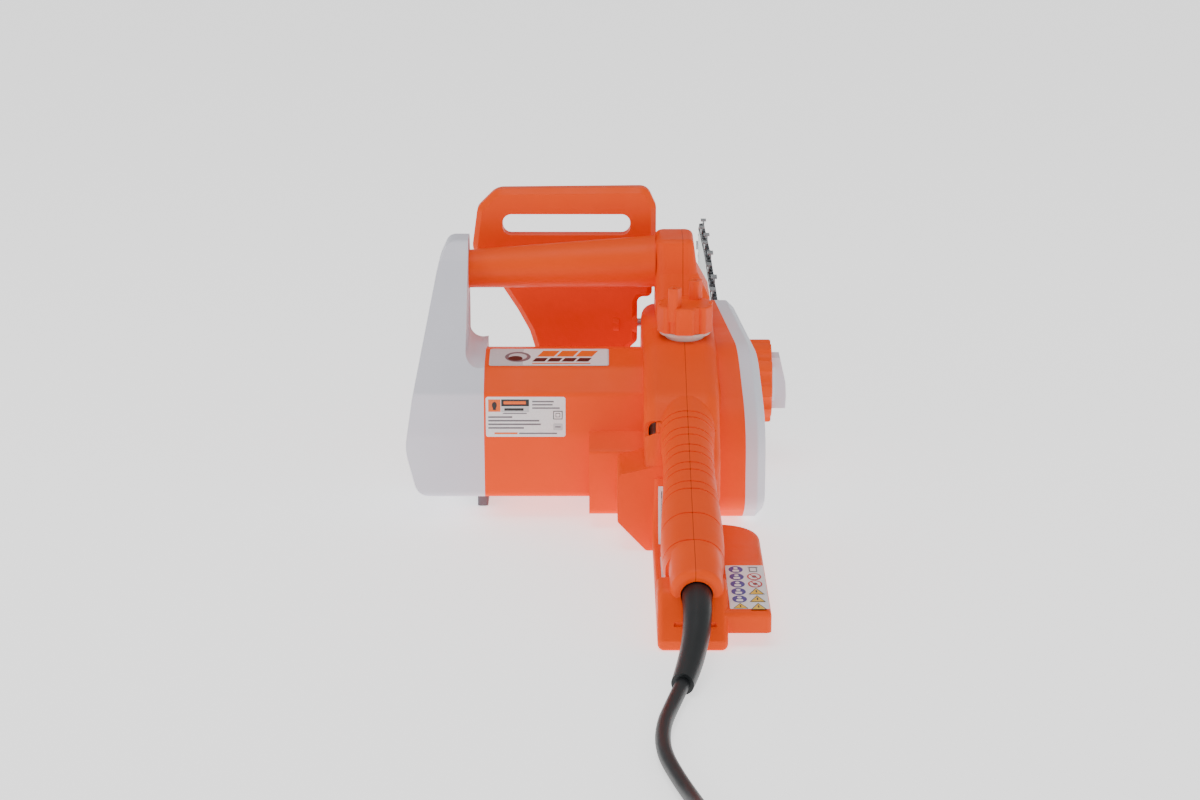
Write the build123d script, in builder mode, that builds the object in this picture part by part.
"""A corded electric chainsaw with a transverse motor, as an assembly of its real pieces.

The bar points along +Y, +Z is up and +X is the operator's right. The origin is on the ground, in the plane
where the two halves of the housing meet. All sizes are in millimetres.
"""
import math
import os

from build123d import *

os.makedirs("parts", exist_ok=True)

# ---------------------------------------------------------------- driving sizes
wall = 2.6                    # moulded wall of the housing
gap = 0.3                     # clearance between pieces that don't touch
running = 0.05                # radial clearance of a shaft in its seat
overlap = 5.0                 # how far one form reaches into the next before they are joined

# motor barrel, on the left
barrel_length = 103.0         # from the body's left side to the end cover
barrel_rear = -62.0
barrel_front = 32.0
barrel_bottom = 14.0
barrel_top = 103.5

# centre body between the barrel and the chain
body_left = -27.0
body_right = 21.0             # the floor that the sprocket runs beside
body_front = 104.0
body_rear = -122.0
body_top = 116.5
column_top = 169.0
body_bottom = 0.0

# end cover and front handle
cover_depth = 51.5            # from the barrel's joint to the cover's left side
strut_gap = 12.5              # from the barrel's joint to the strut that carries the front handle
tube_left_radius = 12.7
tube_right_radius = 17.3
tube_left = (30.0, 147.0)     # Y and Z of the front handle's axis at the strut
tube_right = (35.0, 151.0)    # and at the column
column_left = -18.0

# shafts and gears
motor_y, motor_z = -14.5, 61.0
gear_module = 1.25
pinion_teeth = 11
gear_teeth = 44
gear_width = 10.0
gear_right = -9.0             # right face of the drive gear
spindle_z = 58.0              # height of the spindle and of the guide bar's centreline
stator_radius = 38.0
core_radius = 23.0

# guide bar and chain
bar_plane = 27.5              # X of the guide bar's middle
bar_thickness = 4.2
bar_half = 28.8               # half the bar's height at its tail
bar_nose_radius = 21.0
nose_y = 448.0                # Y of the nose circle's centre
tail_y = 45.0                 # Y of the bar's tail
stud_y = 70.0                 # bolt that clamps the guide bar
stud_radius = 4.0
chain_height = 2.5            # from the rail to the chain's rivet line
chain_pitch = 19.05           # one drive link to the next
sprocket_teeth = 6

# sprocket cover
seat_x = 24.5                 # X of its seat on the housing at seat_y
seat_y = 100.0
seat_slope = 0.08             # how fast the seat moves right towards the rear
cover_thickness = 13.5
cover_front = 117.0
cover_rear = -78.0
knob_radius = 28.5
knob_left = 46.5

# rear handle
grip_width = 33.6
grip_drop = 46.0 / 175.0      # fall of the grip's top line towards the rear
grip_start = (-110.0, 88.0)   # Y and Z of a point on the top line
boss_radius = 15.7
boss_y, boss_z = -287.0, 29.5  # centre of the cord's exit
cord_hole = 9.4
base_rear = -300.0
base_height = 11.0
base_left, base_right = -22.0, 18.8
flange_right = 44.0
flange_bottom, flange_top = 8.0, 21.5

# filler cap of the oil tank
cap_x, cap_y = 0.5, -22.0
cap_radius = 16.0
cap_bottom = 119.0
cap_height = 17.5

barrel_left = body_left - barrel_length
cover_left = barrel_left - cover_depth
strut_inner = barrel_left - strut_gap
gear_radius = gear_module * gear_teeth / 2
pinion_radius = gear_module * pinion_teeth / 2
shaft_distance = gear_radius + pinion_radius
spindle_y = motor_y + math.sqrt(shaft_distance**2 - (motor_z - spindle_z) ** 2)
grip_angle = math.degrees(math.atan(grip_drop))


def finish(built, name):
    """Labels a finished piece and writes it under its node's name."""
    built.part.label = name
    export_step(built.part, f"parts/{name}.step")


# ---------------------------------------------------------------- forms of the housing
def slab(corners, left, right, inset=0.0, edge=0.0):
    """Extrudes an outline of (Y, Z, corner radius) between two X, shrunk by inset in its own plane."""
    points = [(y, z) for y, z, radius in corners]
    radii = [radius for y, z, radius in corners]
    with BuildPart() as form:
        with BuildSketch(Plane.YZ.offset(left)):
            with BuildLine():
                FilletPolyline(*points, radius=radii, close=True)
            make_face()
            if inset:
                offset(amount=-inset, kind=Kind.INTERSECTION)
        extrude(amount=right - left)
        if edge > inset:
            fillet(form.edges().filter_by(Axis.X, reverse=True), edge - inset)
    return form.part


def cover_outline():
    """Side outline of the sprocket cover, as (Y, Z, corner radius)."""
    bottom = 3.0
    top = 108.0
    return [
        (cover_front, bottom + 26, 10),
        (cover_front, top - 19, 8),
        (seat_y + 2, top, 8),
        (cover_rear + 50, top, 44),
        (cover_rear, spindle_z + 12, 44),
        (cover_rear, bottom + 12, 14),
        (cover_rear + 14, bottom, 12),
        (seat_y - 12, bottom, 20),
    ]


def beyond_seat(shift):
    """The slanted plane of the sprocket cover's seat, moved right by shift along its normal."""
    normal = Vector(1, seat_slope, 0).normalized()
    return Plane(origin=Vector(seat_x, seat_y, 0) + normal * shift, z_dir=normal)


def barrel_form(inset):
    """Octagonal motor barrel with its widest line at the motor shaft."""
    corners = [
        (barrel_rear + 5, barrel_bottom, 5),
        (barrel_rear, spindle_z, 30),
        (barrel_rear + 1.5, barrel_top - 18, 5),
        (barrel_rear + 17, barrel_top - 4, 7),
        (barrel_rear + 48, barrel_top, 10),
        (barrel_front - 22, barrel_top - 5, 8),
        (barrel_front - 5, barrel_top - 21, 8),
        (barrel_front, spindle_z, 20),
        (barrel_front - 6, barrel_bottom + 14, 8),
        (barrel_front - 22, barrel_bottom, 8),
    ]
    start = barrel_left - (overlap if inset else 0)
    return slab(corners, start, body_left + 20 - inset, inset)


def block_form(inset):
    """Step behind the barrel that holds the motor's lead and interference choke."""
    corners = [
        (barrel_rear - 16, 9, 4),
        (barrel_rear - 16, 52, 3),
        (barrel_rear + 6, 64, 3),
        (barrel_rear + 42, 64, 3),
        (barrel_rear + 42, 9, 3),
    ]
    return slab(corners, body_left - 35 + inset, body_left + 20 - inset, inset)


def bulge_form(inset):
    """Foot of the housing at the left of the handle, with a chamfered lower corner."""
    with BuildPart() as form:
        with BuildSketch(Plane.XZ.offset(-(body_rear + inset))):
            with BuildLine():
                FilletPolyline(
                    (body_left - 17, 19), (body_left - 17, 50), (body_left + 10, 56), (body_left + 10, 0),
                    (body_left + 1, 0), radius=[3, 4, 0, 0, 3], close=True,
                )
            make_face()
            if inset:
                offset(amount=-inset, kind=Kind.INTERSECTION)
        extrude(amount=body_rear - barrel_rear + inset)
    return form.part


def centre_form(inset):
    """Centre body from the rear wall to the bar's end, without its handles."""
    corners = [
        (body_front, 14, 12),
        (body_front, 88, 10),
        (body_front - 14, 105, 10),
        (body_front - 44, body_top - 1, 16),
        (cap_y + 12, body_top, 16),
        (cap_y - 18, body_top - 3.5, 16),
        (body_rear + 30, 93, 20),
        (body_rear, 58, 14),
        (body_rear, body_bottom, 3),
        (body_front - 14, body_bottom, 12),
    ]
    return slab(corners, body_left + inset, body_right - inset, inset, 9)


def column_form(inset):
    """Column in front of the filler cap that carries the right end of the front handle."""
    with BuildPart() as form:
        for right, rear, front, height, radius in (
            (7, 18, 56, column_top - inset, 6),
            (10, 14, 58, column_top - 22, 7),
            (18, 7, 66, column_top - 38, 8),
            (20, -3, 84, body_top - 8, 9),
        ):
            with BuildSketch(Plane.XY.offset(height)):
                with Locations(((column_left + right) / 2, (rear + front) / 2)):
                    RectangleRounded(
                        right - column_left - 2 * inset, front - rear - 2 * inset, radius - inset
                    )
        loft(ruled=True)
        if not inset:
            fillet(form.faces().sort_by(Axis.Z)[-1].edges(), 4)
    return form.part


def grip_form(inset):
    """Rear grip: oval sections along its axis, flaring into the body at the front."""
    with BuildPart() as form:
        for along, width, height in (
            (-68, 52, 62), (-34, 43, 50), (0, grip_width + 1.6, 38.5), (75, grip_width, 34.5),
            (157, grip_width, 31),
        ):
            top_y = grip_start[0] - along * math.cos(math.radians(grip_angle))
            top_z = grip_start[1] - along * math.sin(math.radians(grip_angle))
            up = Vector(0, -math.sin(math.radians(grip_angle)), math.cos(math.radians(grip_angle)))
            centre = Vector(0, top_y, top_z) - up * (height / 2)
            section = Plane(origin=centre, x_dir=(1, 0, 0), z_dir=(0, -up.Z, up.Y))
            with BuildSketch(section):
                RectangleRounded(width - 2 * inset, height - 2 * inset, min(width, height) * 0.46 - inset)
        loft()
    return form.part


def boss_form(inset):
    """Round boss at the grip's end that the cord leaves through."""
    axis = Vector(0, -math.cos(math.radians(grip_angle)), -math.sin(math.radians(grip_angle)))
    length = 34 - inset
    origin = Vector(0.8, boss_y, boss_z) - axis * 34
    with BuildPart() as form:
        with BuildSketch(Plane(origin=origin, x_dir=(1, 0, 0), z_dir=axis)):
            Circle(boss_radius - inset)
        extrude(amount=length)
        if not inset:
            fillet(form.faces().sort_by(Axis.Y)[0].edges(), 4.5)
    return form.part


def base_form(inset):
    """Lower bar of the rear handle, from the housing's foot up to the cord's boss."""
    # the hollow's floor is a little above the centre body's, so that their roundings cross cleanly
    floor = body_bottom + 0.25 * inset
    corners = [
        (body_rear + 20, floor, 0),
        (base_rear, floor, 1.5),
        (base_rear, 6, 2),
        (boss_y + 3, 32, 6),
        (boss_y + 22, 34, 6),
        (boss_y + 34, base_height, 14),
        (body_rear - 1, base_height, 24),
        (body_rear - 1, 48, 0),
        (body_rear + 20, 48, 0),
    ]
    return slab(corners, base_left + inset, base_right - inset, inset, 0 if inset else 3.5)


def flange_form(inset):
    """Hand guard along the right of the rear handle."""
    with BuildPart() as form:
        with BuildSketch(Plane.XY.offset(flange_bottom - (1 if inset else 0))):
            with BuildLine():
                FilletPolyline(
                    (base_right - 2.5, boss_y - 5), (flange_right, boss_y - 5), (flange_right, body_rear - 9),
                    (base_right - 2.5, body_rear - 9), radius=[0, 3, 25, 0], close=True,
                )
            make_face()
            if inset:
                offset(amount=-inset, kind=Kind.INTERSECTION)
        extrude(amount=flange_top - inset - flange_bottom + (1 if inset else 0))
        if not inset:
            fillet(form.faces().sort_by(Axis.Z)[-1].edges().sort_by(Axis.X)[1:], 4)
    return form.part


def sprocket_side(inset):
    """Right side of the housing under the sprocket cover, up to the slanted seat."""
    with BuildPart() as form:
        add(slab(cover_outline(), body_right - 7, 60, inset))
        split(bisect_by=beyond_seat(0), keep=Keep.BOTTOM)
    return form.part


def housing_form(inset):
    """All the forms of the orange housing as one; with an inset, the hollow inside them."""
    with BuildPart() as form:
        add(centre_form(inset))
        add(barrel_form(inset))
        add(block_form(inset))
        add(bulge_form(inset))
        add(column_form(inset))
        add(grip_form(inset))
        add(boss_form(inset))
        add(base_form(inset))
    return form.part


# ---------------------------------------------------------------- housing shells
screw_hole = 2.0
boss_size = 4.6
head_depth = 3.5
housing_screw_places = (      # Y, Z and the X of the face that the head sinks into
    (body_rear + 10, 30, body_right),
    (body_front - 13, 25, body_right),
    (body_front - 13, 86, body_right),
    (46, 98, body_right),
    (-205, 37.5, grip_width / 2 - 0.5),
    (boss_y + 4, 8.5, base_right),
)
cover_screw_places = ((-50, 27), (-50, 86), (18, 84), (18, 32))
cover_screw_seat = barrel_left - 10
trigger_half = 6.0
trigger_pin_radius = 1.5
spring_radius = 3.2
trigger_y, trigger_z = body_rear - 2, 53.0
lock_y, lock_z, lock_radius = -104.0, 75.0, 4.5
groove_pairs = ((-109, -116), (-128, -136), (-147.5, -155.5), (-167.5, -175.5), (-188.5, -196.5))
single_grooves = (-222.5, -251.0)
neck_radius = 13.2
guard_pin_y, guard_pin_z = 68.0, 100.0
guard_pin_radius = 3.0
bearing_608 = (4.0, 11.0, 7.0)        # bore radius, outer radius and width
bearing_6201 = (6.0, 16.0, 10.0)
front_bearing_x = body_left + wall - bearing_608[2]
right_bearing_x = body_right - wall - bearing_6201[2]
stud_pad = 15.0

axis_dir = Vector(0, -math.cos(math.radians(grip_angle)), -math.sin(math.radians(grip_angle)))


def x_cylinder(radius, y, z, left, right):
    """Round bar along X."""
    with BuildPart() as form:
        with BuildSketch(Plane.YZ.offset(left)):
            with Locations((y, z)):
                Circle(radius)
        extrude(amount=right - left)
    return form.part


def block(left, right, rear, front, bottom, top):
    """Plain block between six limits."""
    with BuildPart() as form:
        with Locations(((left + right) / 2, (rear + front) / 2, (bottom + top) / 2)):
            Box(right - left, front - rear, top - bottom)
    return form.part


def groove_ring(y, width, depth):
    """Cutter for a shallow groove across the top of the grip at the given Y of its top line."""
    top_z = grip_start[1] + (y - grip_start[0]) * grip_drop
    with BuildPart() as ring:
        with BuildSketch(Plane(origin=(0, y, top_z), x_dir=(1, 0, 0), z_dir=axis_dir)):
            Rectangle(grip_width + 12, 30)
        extrude(amount=width / 2, both=True)
        add(grip_form(depth), mode=Mode.SUBTRACT)
    return ring.part


with BuildPart() as shell:
    add(housing_form(0))
    add(sprocket_side(0))
    add(flange_form(0))
    add(housing_form(wall), mode=Mode.SUBTRACT)
    add(flange_form(wall), mode=Mode.SUBTRACT)
    # pocket of the chain, with a pad that the bar is clamped against
    add(slab(cover_outline(), body_right, 60, wall), mode=Mode.SUBTRACT)
    add(block(body_right - 1, bar_plane - bar_thickness / 2, tail_y + 6, seat_y - 4, spindle_z - stud_pad,
              spindle_z + stud_pad))
    # way out of the pocket for the chain
    add(block(body_right + wall, 60, seat_y - 2, cover_front, spindle_z - 41, spindle_z + 41),
        mode=Mode.SUBTRACT)
    # seats: rings that hold the stator, and the right bearing of the spindle
    for x in (barrel_left + 22, barrel_left + 56):
        with BuildPart(mode=Mode.PRIVATE) as rib:
            add(barrel_form(0.5))
            add(block(x + 2.4, 200, -200, 200, -10, 200), mode=Mode.SUBTRACT)
            add(block(-200, x, -200, 200, -10, 200), mode=Mode.SUBTRACT)
            add(x_cylinder(stator_radius, motor_y, motor_z, -200, 100), mode=Mode.SUBTRACT)
        add(rib.part)
    add(x_cylinder(bearing_6201[1] + 3, spindle_y, spindle_z, right_bearing_x, body_right - 1))
    add(x_cylinder(bearing_6201[1], spindle_y, spindle_z, 0, right_bearing_x + bearing_6201[2]),
        mode=Mode.SUBTRACT)
    add(x_cylinder(bearing_6201[0] + 3, spindle_y, spindle_z, 0, 60), mode=Mode.SUBTRACT)
    # screw bosses, kept inside the walls
    with BuildPart(mode=Mode.PRIVATE) as bosses:
        for y, z, face in housing_screw_places:
            add(x_cylinder(boss_size, y, z, body_left - 20, 60))
        add(housing_form(0.6), mode=Mode.INTERSECT)
    add(bosses.part)
    with BuildPart(mode=Mode.PRIVATE) as webs:
        for y, z in cover_screw_places:
            add(x_cylinder(boss_size, y, z, barrel_left, barrel_left + 16))
            outward = math.copysign(20, y - motor_y)
            add(block(barrel_left, barrel_left + 16, min(y, y + outward), max(y, y + outward),
                      z - 1.2, z + 1.2))
        add(barrel_form(0.6), mode=Mode.INTERSECT)
    add(webs.part)
    for y, z, face in housing_screw_places:
        add(x_cylinder(screw_hole, y, z, -12, 60), mode=Mode.SUBTRACT)
        add(x_cylinder(3.9, y, z, face - head_depth, 60), mode=Mode.SUBTRACT)
    for y, z in cover_screw_places:
        add(x_cylinder(screw_hole, y, z, barrel_left - 1, barrel_left + 12), mode=Mode.SUBTRACT)
    # openings
    with Locations((cap_x, cap_y, body_top)):
        Cylinder(neck_radius + gap, 14, mode=Mode.SUBTRACT)
    cord_start = Vector(0.8, boss_y, boss_z) - axis_dir * 16
    with BuildSketch(Plane(origin=cord_start, x_dir=(1, 0, 0), z_dir=axis_dir)):
        Circle(cord_hole)
    extrude(amount=40, mode=Mode.SUBTRACT)
    # room for the trigger to swing, with the seats of its pin and its spring
    add(block(-trigger_half - 0.5, trigger_half + 0.5, trigger_y - 48, trigger_y + 7, 22, trigger_z + 7),
        mode=Mode.SUBTRACT)
    add(x_cylinder(trigger_pin_radius, trigger_y, trigger_z, -11.2, 11.2), mode=Mode.SUBTRACT)
    add(x_cylinder(spring_radius + gap, trigger_y, trigger_z, trigger_half, trigger_half + 4),
        mode=Mode.SUBTRACT)
    add(x_cylinder(lock_radius + gap, lock_y, lock_z, -40, -8), mode=Mode.SUBTRACT)
    add(x_cylinder(guard_pin_radius, guard_pin_y, guard_pin_z, -40, body_left + wall + 1), mode=Mode.SUBTRACT)
    add(x_cylinder(stud_radius + 0.1, stud_y, spindle_z, 0, 60), mode=Mode.SUBTRACT)
    for column in range(5):
        x = body_left - 12 - 7 * column
        add(block(x, x + 3, motor_y - 22, motor_y + 14, barrel_bottom - 2, barrel_bottom + 6),
            mode=Mode.SUBTRACT)
    # shallow slot across the rear of the base
    add(block(-12.5, 12, base_rear - 1, base_rear + 6.4, 13, 15.5), mode=Mode.SUBTRACT)
    for pair in groove_pairs:
        for y in pair:
            add(groove_ring(y, 1.1, 0.7), mode=Mode.SUBTRACT)
    for y in single_grooves:
        add(groove_ring(y, 1.2, 0.8), mode=Mode.SUBTRACT)

with BuildPart() as left_shell:
    add(shell.part)
    split(bisect_by=Plane.YZ, keep=Keep.BOTTOM)
finish(left_shell, "left_shell")

with BuildPart() as right_shell:
    add(shell.part)
    split(bisect_by=Plane.YZ, keep=Keep.TOP)
finish(right_shell, "right_shell")

# ---------------------------------------------------------------- end cover, front handle and their screws
def cover_form(inset):
    """End cover with the strut of the front handle, where its front and side outlines cross."""
    front = [
        (barrel_left, barrel_bottom, 0),
        (cover_left + 8, barrel_bottom, 12),
        (cover_left, barrel_bottom + 34, 40),
        (cover_left + 5, barrel_top - 22, 40),
        (cover_left + 19, column_top - 16, 30),
        (cover_left + 26, column_top, 9),
        (strut_inner, column_top, 0),
        (strut_inner, barrel_top - 6.5, 9),
        (barrel_left, barrel_top - 4, 0),
    ]
    side = [
        (barrel_rear + 5, barrel_bottom, 5),
        (barrel_rear, spindle_z, 30),
        (barrel_rear + 1.5, barrel_top - 18, 4),
        (tube_left[0] - 18, column_top - 12, 8),
        (tube_left[0] - 12, column_top, 5),
        (tube_left[0] + 12, column_top, 6),
        (tube_left[0] + 19, column_top - 18, 12),
        (barrel_front + 3, barrel_top + 2, 20),
        (barrel_front, spindle_z, 20),
        (barrel_front - 6, barrel_bottom + 14, 8),
        (barrel_front - 22, barrel_bottom, 8),
    ]
    if inset:
        front[0] = (barrel_left + 20, barrel_bottom, 0)
        front[-1] = (barrel_left + 20, barrel_top - 4, 0)
    with BuildPart() as form:
        with BuildSketch(Plane.XZ.offset(-60)):
            with BuildLine():
                FilletPolyline(*[corner[:2] for corner in front], radius=[corner[2] for corner in front],
                               close=True)
            make_face()
            if inset:
                offset(amount=-inset, kind=Kind.INTERSECTION)
        extrude(amount=140)
        add(slab(side, cover_left - 5, barrel_left + 30, inset), mode=Mode.INTERSECT)
    return form.part


with BuildPart() as motor_end_cover:
    add(cover_form(0))
    add(cover_form(wall), mode=Mode.SUBTRACT)
    # seat of the motor's rear bearing, and screw tubes
    with BuildPart(mode=Mode.PRIVATE) as seats:
        add(x_cylinder(bearing_608[1] + 2.5, motor_y, motor_z, cover_left, cover_left + 31))
        for y, z in cover_screw_places:
            add(x_cylinder(boss_size + 1, y, z, cover_left, barrel_left))
        add(cover_form(0.6), mode=Mode.INTERSECT)
    add(seats.part)
    add(x_cylinder(bearing_608[1], motor_y, motor_z, cover_left + 31 - bearing_608[2], cover_left + 31),
        mode=Mode.SUBTRACT)
    for y, z in cover_screw_places:
        add(x_cylinder(screw_hole, y, z, cover_left, barrel_left + 1), mode=Mode.SUBTRACT)
        add(x_cylinder(3.9, y, z, cover_left - 1, cover_screw_seat), mode=Mode.SUBTRACT)
    # cooling air inlets beside the commutator
    for row in range(-3, 4):
        if row:
            z = motor_z - 4 + row * 6.5
            add(block(cover_left - 5, cover_left + 12, motor_y - 14, motor_y + 14, z - 1.5, z + 1.5),
                mode=Mode.SUBTRACT)
finish(motor_end_cover, "motor_end_cover")

with BuildPart() as front_handle_tube:
    for x, (y, z), radius in (
        (strut_inner, tube_left, tube_left_radius),
        (column_left, tube_right, tube_right_radius),
    ):
        with BuildSketch(Plane.YZ.offset(x)):
            with Locations((y, z)):
                Circle(radius)
                Circle(radius - wall, mode=Mode.SUBTRACT)
    loft()
finish(front_handle_tube, "front_handle_tube")

with BuildPart() as end_cover_screws:
    for y, z in cover_screw_places:
        add(x_cylinder(3.6, y, z, cover_screw_seat - 3, cover_screw_seat))
        add(x_cylinder(screw_hole - running, y, z, cover_screw_seat, barrel_left + 11))
finish(end_cover_screws, "end_cover_screws")

with BuildPart() as housing_screws:
    for y, z, face in housing_screw_places:
        add(x_cylinder(3.6, y, z, face - head_depth, face - head_depth + 2.6))
        add(x_cylinder(screw_hole - running, y, z, -11, face - head_depth))
finish(housing_screws, "housing_screws")

with BuildPart() as motor_foot:
    add(block(barrel_left - 6, barrel_left + 1, motor_y - 16, motor_y + 20, 0, barrel_bottom))
    fillet(motor_foot.edges().filter_by(Axis.Z), 2)
finish(motor_foot, "motor_foot")

# ---------------------------------------------------------------- motor
comm_left, comm_right = barrel_left - 15, barrel_left + 1
core_left, core_right = barrel_left + 19, barrel_left + 67
stator_left, stator_right = core_left - 2, core_right + 2
fan_left, fan_right = barrel_left + 80, barrel_left + 92
shaft_left = cover_left + 31 - bearing_608[2]
air_gap = 0.6

with BuildPart() as motor_stator:
    with BuildSketch(Plane.YZ.offset(stator_left)):
        with Locations((motor_y, motor_z)):
            Circle(stator_radius - running)
            Circle(stator_radius - 6, mode=Mode.SUBTRACT)
            Rectangle(22, 2 * stator_radius - 6)
            Circle(core_radius + air_gap + 1.6)
            Circle(core_radius + air_gap, mode=Mode.SUBTRACT)
    extrude(amount=stator_right - stator_left)
finish(motor_stator, "motor_stator")

with BuildPart() as field_coils:
    with BuildSketch(Plane.YZ.offset(stator_left - 7)):
        with Locations((motor_y, motor_z)):
            Circle(stator_radius - 6 - gap)
            Circle(core_radius + air_gap + 1.6 + gap, mode=Mode.SUBTRACT)
            Rectangle(3 * stator_radius, 7, mode=Mode.SUBTRACT)
    extrude(amount=stator_right - stator_left + 14)
    with Locations(((stator_left + stator_right) / 2, motor_y, motor_z)):
        Box(stator_right - stator_left + 2 * gap, 22 + 2 * gap, 3 * stator_radius, mode=Mode.SUBTRACT)
finish(field_coils, "field_coils")

brush_x = (comm_left + comm_right) / 2 - 2
brush_reach = 13.0
with BuildPart() as brush_holders:
    for side in (-1, 1):
        with Locations((brush_x, motor_y + side * (brush_reach + 13), motor_z)):
            Box(12, 17, 13)
            Box(7.2, 30, 8.2, mode=Mode.SUBTRACT)
            with Locations((0, side * 7.5, 0)):
                Box(12, 2, 13)
finish(brush_holders, "brush_holders")

with BuildPart() as brushes:
    for side in (-1, 1):
        with Locations((brush_x, motor_y + side * (brush_reach + 8), motor_z)):
            Box(7, 15.5, 8)
finish(brushes, "brushes")

with BuildPart() as motor_bearings:
    for x in (shaft_left, front_bearing_x):
        with BuildSketch(Plane.YZ.offset(x)):
            with Locations((motor_y, motor_z)):
                Circle(bearing_608[1] - running)
                Circle(bearing_608[0] + running, mode=Mode.SUBTRACT)
        extrude(amount=bearing_608[2])
finish(motor_bearings, "motor_bearings")

with BuildPart() as armature_shaft:
    add(x_cylinder(bearing_608[0], motor_y, motor_z, shaft_left, gear_right + 1))
    add(x_cylinder(5.5, motor_y, motor_z, shaft_left + bearing_608[2] + 0.5, front_bearing_x - 0.5))
finish(armature_shaft, "armature_shaft")

with BuildPart() as armature_core:
    with BuildSketch(Plane.YZ.offset(core_left)):
        with Locations((motor_y, motor_z)):
            Circle(core_radius)
            with PolarLocations(core_radius - 1, 12):
                Rectangle(3, 2.2, mode=Mode.SUBTRACT)
            Circle(5.5, mode=Mode.SUBTRACT)
    extrude(amount=core_right - core_left)
finish(armature_core, "armature_core")

with BuildPart() as armature_windings:
    for left, right in ((core_left - 14, core_left), (core_right, core_right + 8)):
        with BuildSketch(Plane.YZ.offset(left)):
            with Locations((motor_y, motor_z)):
                Circle(core_radius - 4)
                Circle(5.5, mode=Mode.SUBTRACT)
        extrude(amount=right - left)
    fillet(armature_windings.edges().filter_by(GeomType.CIRCLE).filter_by(
        lambda edge: edge.radius > core_radius - 5), 3)
finish(armature_windings, "armature_windings")

with BuildPart() as commutator:
    with BuildSketch(Plane.YZ.offset(comm_left)):
        with Locations((motor_y, motor_z)):
            Circle(brush_reach - running)
            with PolarLocations(brush_reach - 0.3, 24):
                Rectangle(1.4, 0.5, mode=Mode.SUBTRACT)
            Circle(5.5, mode=Mode.SUBTRACT)
    extrude(amount=comm_right - comm_left)
finish(commutator, "commutator")

fan_blades = 12
with BuildPart() as motor_fan:
    with BuildSketch(Plane.YZ.offset(fan_right - 2)):
        with Locations((motor_y, motor_z)):
            Circle(stator_radius - 3)
            Circle(5.5, mode=Mode.SUBTRACT)
    extrude(amount=2)
    with BuildSketch(Plane.YZ.offset(fan_left)):
        with Locations((motor_y, motor_z)):
            Circle(9)
            with PolarLocations(stator_radius - 14, fan_blades):
                Rectangle(21, 1.6)
            Circle(5.5, mode=Mode.SUBTRACT)
    extrude(amount=fan_right - 2 - fan_left)
finish(motor_fan, "motor_fan")


# ---------------------------------------------------------------- gears, spindle, brake and oil pump
def gear_outline(teeth, turn):
    """Spur gear section with straight-flanked teeth; turn shifts it by that many tooth pitches."""
    pitch_radius = gear_module * teeth / 2
    outer = pitch_radius + gear_module * 0.92
    root = pitch_radius - gear_module * 1.2
    step = 360 / teeth
    with BuildSketch() as section:
        Circle(root)
        for tooth in range(teeth):
            middle = (tooth + turn) * step
            flank = []
            for radius, share in ((root - 0.4, 0.30), (pitch_radius, 0.225), (outer, 0.12)):
                flank.append((radius, share))
            points = [
                (radius * math.cos(math.radians(middle + side * share * step)),
                 radius * math.sin(math.radians(middle + side * share * step)))
                for side, run in ((-1, flank), (1, reversed(flank))) for radius, share in run
            ]
            with BuildLine():
                Polyline(*points, close=True)
            make_face()
    return section.sketch


# the line of centres makes this angle in the gears' plane, and a tooth of one meets a space of the other
mesh_angle = math.degrees(math.atan2(spindle_z - motor_z, spindle_y - motor_y))
pinion_turn = mesh_angle / (360 / pinion_teeth)
gear_turn = (mesh_angle + 180) / (360 / gear_teeth) + 0.5

with BuildPart() as motor_pinion:
    with BuildSketch(Plane.YZ.offset(gear_right - gear_width - 1)):
        with Locations((motor_y, motor_z)):
            add(gear_outline(pinion_teeth, pinion_turn))
            Circle(bearing_608[0], mode=Mode.SUBTRACT)
    extrude(amount=gear_width + 2)
finish(motor_pinion, "motor_pinion")

spindle_radius = 5.0
hub_radius = 16.0
with BuildPart() as drive_gear:
    with BuildSketch(Plane.YZ.offset(gear_right - gear_width)):
        with Locations((spindle_y, spindle_z)):
            add(gear_outline(gear_teeth, gear_turn))
            with PolarLocations(18.5, 6):
                Circle(3.6, mode=Mode.SUBTRACT)
    extrude(amount=gear_width)
    add(x_cylinder(hub_radius, spindle_y, spindle_z, gear_right - 0.01, gear_right + 6.5))
    add(x_cylinder(spindle_radius, spindle_y, spindle_z, -60, 60), mode=Mode.SUBTRACT)
finish(drive_gear, "drive_gear")

plate_left = body_left + wall
plate_width = 4.4
bush_right = gear_right - gear_width - 2
with BuildPart() as gear_plate:
    add(slab([(motor_y - 30, 22, 6), (motor_y - 30, 88, 6), (spindle_y + 30, 88, 6), (spindle_y + 30, 22, 6)],
             plate_left, plate_left + plate_width))
    add(x_cylinder(bearing_608[1] + 3, motor_y, motor_z, front_bearing_x, plate_left + 1))
    add(x_cylinder(spindle_radius + 5, spindle_y, spindle_z, plate_left + 1, bush_right))
    add(x_cylinder(bearing_608[1], motor_y, motor_z, front_bearing_x - 1, front_bearing_x + bearing_608[2]),
        mode=Mode.SUBTRACT)
    add(x_cylinder(bearing_608[0] + 2, motor_y, motor_z, -60, 60), mode=Mode.SUBTRACT)
    add(x_cylinder(spindle_radius + 2, spindle_y, spindle_z, -60, 60), mode=Mode.SUBTRACT)
finish(gear_plate, "gear_plate")

with BuildPart() as spindle_bearings:
    for left, right, bore, outer in (
        (plate_left, bush_right, spindle_radius, spindle_radius + 2),
        (right_bearing_x, right_bearing_x + bearing_6201[2], bearing_6201[0], bearing_6201[1]),
    ):
        with BuildSketch(Plane.YZ.offset(left)):
            with Locations((spindle_y, spindle_z)):
                Circle(outer - running)
                Circle(bore + running, mode=Mode.SUBTRACT)
        extrude(amount=right - left)
finish(spindle_bearings, "spindle_bearings")

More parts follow.
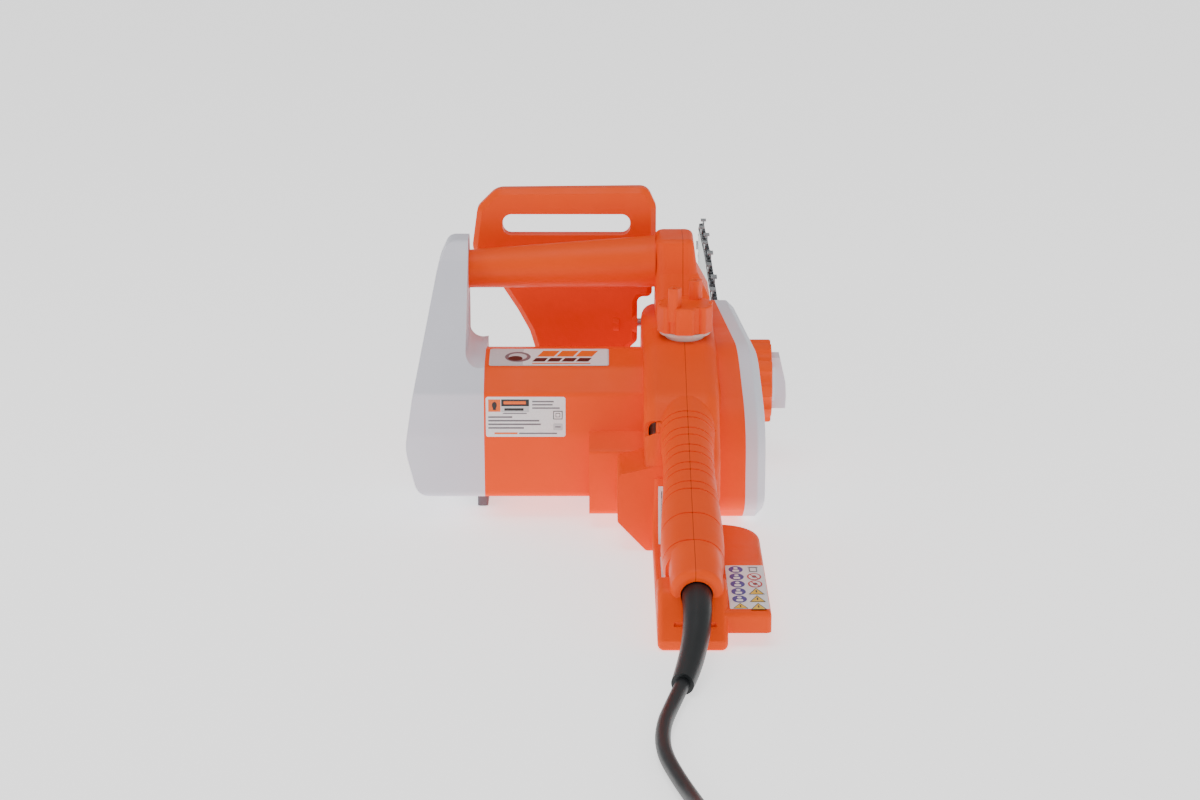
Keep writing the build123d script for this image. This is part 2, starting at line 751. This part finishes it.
worm_left, worm_right = gear_right + 7, right_bearing_x - 0.4
sprocket_left, sprocket_right = bar_plane - 3.4, bar_plane + 3.4
with BuildPart() as output_shaft:
    add(x_cylinder(spindle_radius, spindle_y, spindle_z, plate_left, right_bearing_x))
    add(x_cylinder(bearing_6201[0], spindle_y, spindle_z, right_bearing_x - 0.1, sprocket_right + 3))
finish(output_shaft, "output_shaft")

with BuildPart() as oil_worm:
    with BuildSketch(Plane.YZ.offset(worm_left)):
        with Locations((spindle_y, spindle_z)):
            Circle(7)
            Circle(spindle_radius, mode=Mode.SUBTRACT)
    extrude(amount=worm_right - worm_left)
finish(oil_worm, "oil_worm")

sprocket_pitch_radius = chain_pitch * sprocket_teeth / (2 * math.pi)
rim_radius = sprocket_pitch_radius - 4.2
with BuildPart() as drive_sprocket:
    add(x_cylinder(9.5, spindle_y, spindle_z, sprocket_left, sprocket_right))
    for left, right in ((sprocket_left, sprocket_left + 2.2), (sprocket_right - 2.2, sprocket_right)):
        with BuildSketch(Plane.YZ.offset(left)):
            with Locations((spindle_y, spindle_z)):
                Circle(rim_radius)
                with PolarLocations(rim_radius, sprocket_teeth, start_angle=30):
                    Circle(2.2, mode=Mode.SUBTRACT)
        extrude(amount=right - left)
    add(x_cylinder(bearing_6201[0], spindle_y, spindle_z, 0, 60), mode=Mode.SUBTRACT)
finish(drive_sprocket, "drive_sprocket")

with BuildPart() as sprocket_clip:
    with BuildSketch(Plane.YZ.offset(sprocket_right)):
        with Locations((spindle_y, spindle_z)):
            Circle(9)
            Circle(bearing_6201[0], mode=Mode.SUBTRACT)
            with Locations((-8, 0)):
                Rectangle(8, 5, mode=Mode.SUBTRACT)
    extrude(amount=1.2)
finish(sprocket_clip, "sprocket_clip")

with BuildPart() as brake_band:
    with BuildSketch(Plane.YZ.offset(gear_right + 1)):
        with Locations((spindle_y, spindle_z)):
            Circle(hub_radius + 1.7)
            Circle(hub_radius + 0.7, mode=Mode.SUBTRACT)
            with Locations((hub_radius, 0)):
                Rectangle(6, 8, mode=Mode.SUBTRACT)
            for side in (-1, 1):
                with Locations((hub_radius + 3.7, side * 4.6)):
                    Rectangle(6, 1.2)
    extrude(amount=5)
finish(brake_band, "brake_band")

spring_y = spindle_y + hub_radius + 5.2
with BuildPart() as brake_spring:
    with BuildLine() as coil:
        Helix(pitch=2.2, height=15, radius=2.6, center=(gear_right + 3.5, spring_y, spindle_z + 6))
    with BuildSketch(Plane(origin=coil.line @ 0, z_dir=coil.line % 0)):
        Circle(0.6)
    sweep()
finish(brake_spring, "brake_spring")

pump_x = (worm_left + worm_right) / 2 + 0.4
with BuildPart() as oil_pump:
    add(block(pump_x - 6, pump_x + 8, spindle_y - 17, spindle_y + 17, 20, 36))
    fillet(oil_pump.edges().filter_by(Axis.Z), 3)
    with Locations((pump_x, spindle_y, 43)):
        Cylinder(2.6, 14.5)
    with Locations(Location((pump_x + 3, spindle_y - 19, 28), (90, 0, 0))):
        Cylinder(2.6, 6)
finish(oil_pump, "oil_pump")

tank_left, tank_right = body_left + wall + 1, right_bearing_x + 7
tank_outline = [
    (motor_y - 33, 8, 4), (body_rear + 19, 8, 4), (body_rear + 19, 60, 6), (body_rear + 34, 82, 8),
    (cap_y - 28, 98, 8), (cap_y - 16, 108, 8), (cap_y + 58, 108, 6), (cap_y + 58, 91.5, 4),
    (motor_y - 24, 91.5, 4), (motor_y - 33, 84, 4),
]
with BuildPart() as oil_tank:
    add(slab(tank_outline, tank_left, tank_right, 0, 3))
    with Locations((cap_x, cap_y, 110)):
        Cylinder(neck_radius, 15)
    with Locations((cap_x, cap_y, cap_bottom - 1.3)):
        Cylinder(cap_radius + 0.6, 2)
    add(slab(tank_outline, tank_left + 1.8, tank_right - 1.8, 1.8, 2.5), mode=Mode.SUBTRACT)
    with Locations((cap_x, cap_y, 112)):
        Cylinder(neck_radius - 1.4, 22, mode=Mode.SUBTRACT)
    with Locations(Location((pump_x + 3, motor_y - 34, 28), (90, 0, 0))):
        Cylinder(1.6, 10, mode=Mode.SUBTRACT)
finish(oil_tank, "oil_tank")

with BuildPart() as oil_pipe:
    with BuildSketch(Plane.XZ.offset(-(motor_y - 33))):
        with Locations((pump_x + 3, 28)):
            Circle(3)
            Circle(1.6, mode=Mode.SUBTRACT)
    extrude(amount=-(spindle_y - 22 - (motor_y - 33)))
finish(oil_pipe, "oil_pipe")

# ---------------------------------------------------------------- guide bar and chain
path_circles = (              # Y and radius of the circles that the chain's rivet line runs round
    (spindle_y, sprocket_pitch_radius),
    (tail_y + 40, bar_half + chain_height),
    (nose_y - 130, bar_half + chain_height + 1.0),
    (nose_y, bar_nose_radius + chain_height),
)


def rivet_line(shrink):
    """Closed outline round the path circles, drawn inside them by shrink: arcs joined by tangent lines.

    The sketch's own axes stand for Y and Z.
    """
    leans = [-math.pi / 2]
    for (y1, r1), (y2, r2) in zip(path_circles, path_circles[1:]):
        leans.append(math.asin((r1 - r2) / (y2 - y1)))
    leans.append(math.pi / 2)
    with BuildSketch() as flat:
        with BuildLine():
            for side in (1, -1):
                before = None
                for (y, radius), lean_in, lean_out in zip(path_circles, leans, leans[1:]):
                    arc = [
                        (y + (radius - shrink) * math.sin(lean),
                         spindle_z + side * (radius - shrink) * math.cos(lean))
                        for lean in (lean_in, (lean_in + lean_out) / 2, lean_out)
                    ]
                    if before:
                        Line(before, arc[0])
                    ThreePointArc(*arc)
                    before = arc[2]
        make_face()
    return flat.sketch


rail_clearance = 0.7
slot_front = stud_y + 17
adjuster_y, adjuster_z = tail_y + 11, spindle_z - 16
groove_depth = 7.0
groove_width = 1.7
nose_sprocket_radius = bar_nose_radius - 6.5
with BuildPart() as guide_bar:
    with BuildSketch(Plane.YZ.offset(bar_plane - bar_thickness / 2)):
        add(rivet_line(chain_height + rail_clearance))
    extrude(amount=bar_thickness)
    add(block(0, 60, -200, tail_y, -20, 140), mode=Mode.SUBTRACT)
    fillet(guide_bar.edges().filter_by(Axis.X).sort_by(Axis.Y)[:2], 12)
    # groove that the drive links' tails run in, and the room of the nose sprocket
    with BuildPart(mode=Mode.PRIVATE) as groove:
        with BuildSketch(Plane.YZ.offset(bar_plane - groove_width / 2)):
            add(rivet_line(-5))
            add(rivet_line(chain_height + rail_clearance + groove_depth), mode=Mode.SUBTRACT)
        extrude(amount=groove_width)
        add(x_cylinder(nose_sprocket_radius + 1, nose_y, spindle_z, bar_plane - groove_width / 2,
                       bar_plane + groove_width / 2))
    add(groove.part, mode=Mode.SUBTRACT)
    # stud slot and adjuster hole
    with BuildSketch(Plane.YZ.offset(bar_plane - bar_thickness)):
        with Locations(((slot_front + stud_y - 8) / 2, spindle_z)):
            SlotOverall(slot_front - stud_y + 8 + 2 * stud_radius, 2 * stud_radius + 0.3)
        with Locations((adjuster_y, adjuster_z)):
            Circle(2.8)
        with Locations((nose_y, spindle_z)):
            with PolarLocations(5.5, 4):
                Circle(1.5)
    extrude(amount=2 * bar_thickness, mode=Mode.SUBTRACT)
finish(guide_bar, "guide_bar")

with BuildPart() as nose_rivets:
    with BuildSketch(Plane.YZ.offset(bar_plane - bar_thickness / 2 - 0.2)):
        with Locations((nose_y, spindle_z)):
            with PolarLocations(5.5, 4):
                Circle(1.5 - running)
    extrude(amount=bar_thickness + 0.4)
finish(nose_rivets, "nose_rivets")

with BuildPart() as nose_sprocket:
    with BuildSketch(Plane.YZ.offset(bar_plane - 0.6)):
        with Locations((nose_y, spindle_z)):
            Circle(nose_sprocket_radius)
            with PolarLocations(nose_sprocket_radius, 8):
                Circle(2.4, mode=Mode.SUBTRACT)
            Circle(8, mode=Mode.SUBTRACT)
    extrude(amount=1.2)
finish(nose_sprocket, "nose_sprocket")

rivet_path = rivet_line(0).face().outer_wire()
link_count = 2 * round(rivet_path.length / chain_pitch / 2)
half_pitch = rivet_path.length / link_count / 2
rivet_points = []
for i in range(2 * link_count):
    point = rivet_path.position_at(i * half_pitch, position_mode=PositionMode.LENGTH)
    rivet_points.append(Vector(bar_plane, point.X, point.Y))
print("chain:", link_count, "drive links, pitch", round(2 * half_pitch, 3))
if (rivet_points[1] - rivet_points[0]).Y * (rivet_points[0].Z - spindle_z) < 0:
    rivet_points.reverse()
rivet_hole = 1.3


def link_place(first):
    """Where the link between two rivets lies: its own Y axis forward along the chain, its Z axis outward."""
    start, end = rivet_points[first % len(rivet_points)], rivet_points[(first + 1) % len(rivet_points)]
    along = (end - start).normalized()
    outward = Vector(0, -along.Z, along.Y)
    centre = (start + end) / 2
    return Plane(origin=(bar_plane, centre.Y, centre.Z), x_dir=(1, 0, 0), z_dir=outward).location


def strap_outline(radius):
    """Figure of a strap round its two rivets, in the YZ plane."""
    with Locations((-half_pitch / 2, 0), (half_pitch / 2, 0)):
        Circle(radius)
    Rectangle(half_pitch, 1.6 * radius)


with BuildPart() as drive_link:
    with BuildSketch(Plane.YZ.offset(-0.6)):
        strap_outline(2.7)
        with BuildLine():
            Polyline((-4, -1.5), (4, -1.5), (1.2, -7.4), (-2.6, -7.4), close=True)
        make_face()
        with Locations((-half_pitch / 2, 0), (half_pitch / 2, 0)):
            Circle(rivet_hole, mode=Mode.SUBTRACT)
    extrude(amount=1.2)
with BuildPart() as strap:
    with BuildSketch(Plane.YZ.offset(0.7)):
        strap_outline(2.5)
        with Locations((-half_pitch / 2, 0), (half_pitch / 2, 0)):
            Circle(rivet_hole, mode=Mode.SUBTRACT)
    extrude(amount=1.2)
with BuildPart() as cutter:
    # side plate with its gullet and depth gauge, then the top plate bent over it
    with BuildSketch(Plane.YZ.offset(0.7)):
        strap_outline(2.5)
        with BuildLine():
            Polyline((-7.2, 0), (-7.4, 4.2), (-6.8, 6.6), (0.6, 7.2), (-0.4, 4.6), (0.8, 3.0), (3.0, 3.2),
                     (4.6, 6.4), (6.6, 6.0), (7.2, 0), close=True)
        make_face()
        with Locations((-half_pitch / 2, 0), (half_pitch / 2, 0)):
            Circle(rivet_hole, mode=Mode.SUBTRACT)
    extrude(amount=1.2)
    with BuildSketch(Plane.YZ.offset(-0.9)):
        with BuildLine():
            Polyline((-6.8, 5.6), (-6.8, 6.6), (0.6, 7.2), (0.4, 6.1), close=True)
        make_face()
    extrude(amount=4.3)
with BuildPart() as rivet:
    add(x_cylinder(rivet_hole - 0.15, 0, 0, -2.2, 2.2))

with BuildPart() as chain_drive_links:
    with Locations(*[link_place(2 * i) for i in range(link_count)]):
        add(drive_link.part)
finish(chain_drive_links, "chain_drive_links")

left_cutters = [i for i in range(link_count) if i % 4 == 0]
right_cutters = [i for i in range(link_count) if i % 4 == 2]
mirrored_strap = strap.part.mirror(Plane.YZ)
mirrored_cutter = cutter.part.mirror(Plane.YZ)
with BuildPart() as chain_tie_straps:
    with Locations(*[link_place(2 * i + 1) for i in range(link_count) if i not in right_cutters]):
        add(strap.part)
    with Locations(*[link_place(2 * i + 1) for i in range(link_count) if i not in left_cutters]):
        add(mirrored_strap)
finish(chain_tie_straps, "chain_tie_straps")

with BuildPart() as chain_cutters_right:
    with Locations(*[link_place(2 * i + 1) for i in right_cutters]):
        add(cutter.part)
finish(chain_cutters_right, "chain_cutters_right")

with BuildPart() as chain_cutters_left:
    with Locations(*[link_place(2 * i + 1) for i in left_cutters]):
        add(mirrored_cutter)
finish(chain_cutters_left, "chain_cutters_left")

with BuildPart() as chain_rivets:
    with Locations(*[Location(point) for point in rivet_points]):
        add(rivet.part)
finish(chain_rivets, "chain_rivets")

# ---------------------------------------------------------------- bar clamp, tensioner and sprocket cover
nut_left, nut_right = knob_left + 5, knob_left + 12
with BuildPart() as bar_stud:
    add(x_cylinder(stud_radius, stud_y, spindle_z, body_right - wall - 1, nut_right + 1))
    with BuildSketch(Plane.YZ.offset(body_right - wall - 6)):
        with Locations((stud_y, spindle_z)):
            RegularPolygon(7.5, 6)
    extrude(amount=6)
finish(bar_stud, "bar_stud")

with BuildPart() as tension_slide:
    add(block(bar_plane + 3, bar_plane + 8, adjuster_y - 6, adjuster_y + 7, adjuster_z - 5, adjuster_z + 5))
    fillet(tension_slide.edges().filter_by(Axis.X), 2)
    add(x_cylinder(2.5, adjuster_y, adjuster_z, bar_plane - bar_thickness / 2 + gap, bar_plane + 4))
finish(tension_slide, "tension_slide")

with BuildPart() as chain_catcher:
    add(block(body_right, bar_plane + 3.5, seat_y - 22, seat_y - 12, 9.5, 15.5))
    fillet(chain_catcher.edges().filter_by(Axis.X), 2)
finish(chain_catcher, "chain_catcher")

knob_seat = knob_left - 0.4
cover_chamfer = 5.5
with BuildPart() as sprocket_cover:
    with BuildPart(mode=Mode.PRIVATE) as inside:
        add(slab(cover_outline(), 0, 90, wall))
        split(bisect_by=beyond_seat(cover_thickness - 2.4), keep=Keep.BOTTOM)
        chamfer(inside.faces().sort_by(Axis.X)[-1].edges(), cover_chamfer - 2.5)
    add(slab(cover_outline(), 5, 90))
    split(bisect_by=beyond_seat(cover_thickness), keep=Keep.BOTTOM)
    chamfer(sprocket_cover.faces().sort_by(Axis.X)[-1].edges(), cover_chamfer)
    add(x_cylinder(knob_radius + 3.5, stud_y, spindle_z, bar_plane + 4, knob_seat))
    fillet(sprocket_cover.faces().sort_by(Axis.X)[-1].edges(), 2)
    add(inside.part, mode=Mode.SUBTRACT)
    add(x_cylinder(16, stud_y, spindle_z, bar_plane + bar_thickness / 2, knob_seat - 0.5))
    split(bisect_by=beyond_seat(0.0), keep=Keep.TOP)
    add(x_cylinder(9.6, stud_y, spindle_z, 0, 90), mode=Mode.SUBTRACT)
    add(block(bar_plane + 2.4, bar_plane + 8.6, adjuster_y - 7, adjuster_y + 8, adjuster_z - 5.5,
              adjuster_z + 5.5), mode=Mode.SUBTRACT)
    # way out for the bar and chain, and for chips at the rear
    add(block(0, bar_plane + 5, seat_y - 2, cover_front + 5, spindle_z - 40, spindle_z + 41),
        mode=Mode.SUBTRACT)
    add(block(0, bar_plane + 9, cover_rear - 5, cover_rear + 40, 8, 30), mode=Mode.SUBTRACT)
finish(sprocket_cover, "sprocket_cover")

ring_right = knob_left + 16
with BuildPart() as tension_ring:
    with BuildSketch(Plane.YZ.offset(knob_left)):
        with Locations((stud_y, spindle_z)):
            Circle(knob_radius)
            with PolarLocations(knob_radius + 4.4, 10, start_angle=18):
                Circle(7, mode=Mode.SUBTRACT)
            Circle(15, mode=Mode.SUBTRACT)
    extrude(amount=ring_right - knob_left)
    fillet(tension_ring.faces().sort_by(Axis.X)[-1].edges(), 1.5)
finish(tension_ring, "tension_ring")

with BuildPart() as clamp_knob:
    add(x_cylinder(9.3, stud_y, spindle_z, knob_seat - 6, knob_left + 2))
    add(x_cylinder(14.7, stud_y, spindle_z, knob_left + 1, ring_right + 1))
    with BuildSketch(Plane.XZ.offset(-(stud_y - 8))):
        with BuildLine():
            Polyline((ring_right + gap, spindle_z - 17.5), (ring_right + 10, spindle_z - 17.5),
                     (ring_right + 10.5, spindle_z - 9), (ring_right + 10, spindle_z + 1),
                     (ring_right + 6, spindle_z + 18.3), (ring_right + gap, spindle_z + 18.3), close=True)
        make_face()
    extrude(amount=-16)
    fillet(clamp_knob.edges().filter_by(Axis.Z).group_by(Axis.X)[-1], 2)
    add(x_cylinder(stud_radius + 0.1, stud_y, spindle_z, 0, nut_right + 2), mode=Mode.SUBTRACT)
    with BuildSketch(Plane.YZ.offset(nut_left)):
        with Locations((stud_y, spindle_z)):
            RegularPolygon(7.4, 6)
    extrude(amount=nut_right - nut_left, mode=Mode.SUBTRACT)
finish(clamp_knob, "clamp_knob")

with BuildPart() as clamp_nut:
    with BuildSketch(Plane.YZ.offset(nut_left)):
        with Locations((stud_y, spindle_z)):
            RegularPolygon(7.35, 6)
            Circle(stud_radius + running, mode=Mode.SUBTRACT)
    extrude(amount=nut_right - nut_left)
finish(clamp_nut, "clamp_nut")

with BuildPart() as bumper_spikes:
    add(block(2, 14, body_front + 0.1, body_front + 2.7, 26, 88))
    with BuildSketch(Plane.YZ.offset(11.4)):
        with BuildLine():
            points = [(body_front + 0.1, 24), (body_front + 6, 24)]
            for tooth in range(5):
                z = 26 + tooth * 13
                points += [(body_front + 18, z + 4), (body_front + 7, z + 10)]
            points += [(body_front + 0.1, 90)]
            Polyline(*points, close=True)
        make_face()
    extrude(amount=2.6)
    with Locations(*[Location((6, body_front, z), (90, 0, 0)) for z in (38, 76)]):
        Cylinder(2.2, 20, mode=Mode.SUBTRACT)
finish(bumper_spikes, "bumper_spikes")

with BuildPart() as bumper_screws:
    with Locations(*[Location((6, body_front + 4.2, z), (90, 0, 0)) for z in (38, 76)]):
        Cylinder(3.6, 2.6)
finish(bumper_screws, "bumper_screws")

# ---------------------------------------------------------------- front hand guard
guard_rear = 62.0
guard_thickness = 11.0
guard_wall = 2.8
guard_top = 195.0
guard_bottom = 80.0
guard_left, guard_right = strut_inner + 0.5, column_left + 1.0
guard_outline = [
    (-98.5, guard_bottom, 4), (-103, 95, 10), (-111, 110, 20), (-122, 127, 20), (guard_left, 152, 12),
    (guard_left + 4, guard_top - 14, 8), (guard_left + 17, guard_top - 1, 12),
    (guard_right - 6, guard_top, 8), (guard_right, guard_top - 13, 6), (guard_right, 152, 4),
    (guard_right - 2.5, 140, 4), (guard_right - 2.5, body_top + 2.5, 4), (body_left - 2.5, body_top + 2.5, 4),
    (body_left - 2.5, guard_bottom + 8, 4), (body_left - 11, guard_bottom, 4),
]


def guard_plate(rear, front, inset):
    """The guard's outline between two Y limits, shrunk by inset."""
    with BuildPart() as form:
        with BuildSketch(Plane.XZ.offset(-front)):
            with BuildLine():
                FilletPolyline(*[corner[:2] for corner in guard_outline],
                               radius=[corner[2] for corner in guard_outline], close=True)
            make_face()
            if inset:
                offset(amount=-inset, kind=Kind.INTERSECTION)
        extrude(amount=front - rear)
    return form.part


slot_left, slot_right = guard_left + 21, guard_right - 17.5
slot_bottom, slot_top = 162.5, 177.0
with BuildPart() as hand_guard:
    add(guard_plate(guard_rear, guard_rear + guard_thickness, 0))
    chamfer(hand_guard.faces().sort_by(Axis.Y)[0].edges(), 3.5)
    add(guard_plate(guard_rear + guard_wall, guard_rear + guard_thickness + 1, guard_wall),
        mode=Mode.SUBTRACT)
    # rim round the hand slot, and the slot itself
    for grow, mode in ((guard_wall, Mode.ADD), (0, Mode.SUBTRACT)):
        reach = guard_thickness if mode == Mode.ADD else guard_thickness + 10
        with BuildSketch(Plane.XZ.offset(-(guard_rear + guard_thickness / 2 + reach / 2))):
            with Locations(((slot_left + slot_right) / 2, (slot_bottom + slot_top) / 2)):
                RectangleRounded(slot_right - slot_left + 2 * grow, slot_top - slot_bottom + 2 * grow,
                                 6 + grow)
        extrude(amount=reach, mode=mode)
    # pivot lugs
    for left in (body_left - 19, body_left - 6.5):
        add(x_cylinder(7.5, guard_pin_y, guard_pin_z, left, left + 4))
    add(x_cylinder(guard_pin_radius + running, guard_pin_y, guard_pin_z, -80, -20), mode=Mode.SUBTRACT)
finish(hand_guard, "hand_guard")

with BuildPart() as guard_pin:
    add(x_cylinder(guard_pin_radius - running, guard_pin_y, guard_pin_z, body_left - 21.5, body_left + wall))
finish(guard_pin, "guard_pin")

# ---------------------------------------------------------------- filler cap
post_angle = 58.0
with BuildPart() as oil_cap:
    with BuildSketch(Plane.XY.offset(cap_bottom)):
        with Locations((cap_x, cap_y)):
            Circle(cap_radius)
            with PolarLocations(cap_radius - 3.2, 6, start_angle=post_angle - 30):
                RectangleRounded(11, 13, 3)
    extrude(amount=cap_height)
    fillet(oil_cap.faces().sort_by(Axis.Z)[-1].edges(), 1.2)
    with BuildSketch(Plane.XY.offset(cap_bottom + cap_height - 9)):
        with Locations((cap_x, cap_y)):
            with PolarLocations(13.4, 2, start_angle=post_angle):
                RectangleRounded(8.6, 7.4, 2.6)
    extrude(amount=21.5)
    with Locations((cap_x, cap_y, cap_bottom + cap_height + 12.5)):
        with PolarLocations(13.4, 2, start_angle=post_angle):
            Sphere(1.6, mode=Mode.SUBTRACT)
    with Locations((cap_x, cap_y, cap_bottom - 3.5)):
        Cylinder(neck_radius - 1.4 - gap, 7.1)
        Cylinder(neck_radius - 4.4, 9, mode=Mode.SUBTRACT)
finish(oil_cap, "oil_cap")

# ---------------------------------------------------------------- switch gear in the grip
with BuildPart() as trigger:
    with BuildSketch(Plane.YZ.offset(-trigger_half)):
        with BuildLine():
            FilletPolyline((trigger_y + 4, trigger_z + 3.5), (trigger_y + 3.5, trigger_z - 5),
                           (trigger_y - 16, trigger_z - 22), (trigger_y - 36, trigger_z - 23),
                           (trigger_y - 44, trigger_z - 17), (trigger_y - 42, trigger_z - 9),
                           (trigger_y - 4, trigger_z + 3.5), radius=[2, 3, 12, 8, 3, 3, 2], close=True)
        make_face()
        with Locations((trigger_y, trigger_z)):
            Circle(trigger_pin_radius + running, mode=Mode.SUBTRACT)
    extrude(amount=2 * trigger_half)
    fillet(trigger.edges().filter_by(Axis.X, reverse=True).sort_by(Axis.Z)[:6], 1.5)
finish(trigger, "trigger")

with BuildPart() as trigger_pin:
    add(x_cylinder(trigger_pin_radius - running, trigger_y, trigger_z, -11, 11))
finish(trigger_pin, "trigger_pin")

with BuildPart() as trigger_spring:
    with BuildSketch(Plane.YZ.offset(trigger_half + 0.6)):
        with Locations((trigger_y, trigger_z)):
            Circle(spring_radius)
            Circle(2.0, mode=Mode.SUBTRACT)
    extrude(amount=3)
finish(trigger_spring, "trigger_spring")

with BuildPart() as switch_block:
    with BuildSketch(Plane.YZ.offset(-8)):
        with BuildLine():
            FilletPolyline((trigger_y - 4, trigger_z + 7.5), (trigger_y - 38, trigger_z + 0.5),
                           (trigger_y - 41, trigger_z + 13), (trigger_y - 7, trigger_z + 20.5), radius=1.5,
                           close=True)
        make_face()
    extrude(amount=16)
finish(switch_block, "switch_block")

lock_left = -19.6
with BuildPart() as lock_button:
    add(x_cylinder(lock_radius, lock_y, lock_z, lock_left, -9.5))
    fillet(lock_button.faces().sort_by(Axis.X)[0].edges(), 1)
finish(lock_button, "lock_button")

# ---------------------------------------------------------------- mains cord
cord_radius = 4.25
sleeve_path = (               # X, Y, Z and radius along the bend protection sleeve
    (0.8, boss_y, boss_z, 8.7), (0.6, boss_y - 19.3, boss_z - 5.8, 8.3),
    (-1.6, boss_y - 43, boss_z - 13.2, 7.7),
    (-5.8, boss_y - 66, boss_z - 19.4, 7.2), (-9.5, boss_y - 82, boss_z - 22.6, 6.5),
)
cord_points = (
    (-9.5, -369.0, 6.9), (-15.5, -393.0, 4.7), (-21.5, -424.0, 4.5), (-22.0, -458.0, 4.5),
    (-15.5, -491.0, 4.5),
    (-8.0, -523.0, 5.5), (-4.0, -550.0, 10.5), (-3.0, -571.0, 13.3),
)

with BuildPart() as cord_sleeve:
    stations = [Vector(*station[:3]) for station in sleeve_path]
    inner_end = stations[0] - axis_dir * 14
    headings = [axis_dir] + [(b - a).normalized() for a, b in zip(stations, stations[2:])]
    headings.append((Vector(*cord_points[1]) - Vector(*cord_points[0])).normalized())
    for place, heading, radius in (
        [(inner_end, axis_dir, 8.9)] + [(s, h, row[3]) for s, h, row in zip(stations, headings, sleeve_path)]
    ):
        with BuildSketch(Plane(origin=place, x_dir=(1, 0, 0), z_dir=heading)):
            Circle(radius)
    loft()
    with BuildSketch(Plane(origin=inner_end - axis_dir * 5, x_dir=(1, 0, 0), z_dir=axis_dir)):
        Circle(10.6)
    extrude(amount=5.1)
finish(cord_sleeve, "cord_sleeve")

cord_vectors = [Vector(*point) for point in cord_points]
radii = []
for before, corner, after in zip(cord_vectors, cord_vectors[1:], cord_vectors[2:]):
    turn = math.radians((corner - before).get_angle(after - corner))
    radii.append(0.45 * min((corner - before).length, (after - corner).length) / math.tan(turn / 2))
print("cord radii:", [round(radius) for radius in radii])
with BuildPart() as power_cord:
    with BuildLine() as route:
        FilletPolyline(*cord_points, radius=radii)
    with BuildSketch(Plane(origin=route.line @ 0, z_dir=route.line % 0)):
        Circle(cord_radius)
    sweep()
cord_length = sum(edge.length for edge in route.edges())
print("cord length:", round(cord_length, 1), "volume over section times length:",
      round(power_cord.part.volume / (cord_length * math.pi * cord_radius**2), 4))
finish(power_cord, "power_cord")

plug_start = cord_vectors[-1]
plug_length = 48.0
pin_spacing, pin_radius, pin_length = 19.0, 2.4, 19.0
with BuildPart() as plug_body:
    for along, width, height in (
        (0, 11, 11), (12, 17, 15), (24, 30, 22), (40, 36.5, 26), (plug_length, 36.5, 26),
    ):
        centre = Vector(plug_start.X, plug_start.Y - along, plug_start.Z)
        with BuildSketch(Plane(origin=centre, x_dir=(1, 0, 0), z_dir=(0, -1, 0))):
            RectangleRounded(width, height, 0.45 * height)
    loft(ruled=True)
finish(plug_body, "plug_body")

with BuildPart() as plug_pins:
    for side in (-1, 1):
        with Locations(Location((plug_start.X + side * pin_spacing / 2,
                                 plug_start.Y - plug_length - pin_length / 2, plug_start.Z), (90, 0, 0))):
            Cylinder(pin_radius, pin_length)
    fillet(plug_pins.edges().filter_by(GeomType.CIRCLE).group_by(Axis.Y)[0], 1)
finish(plug_pins, "plug_pins")
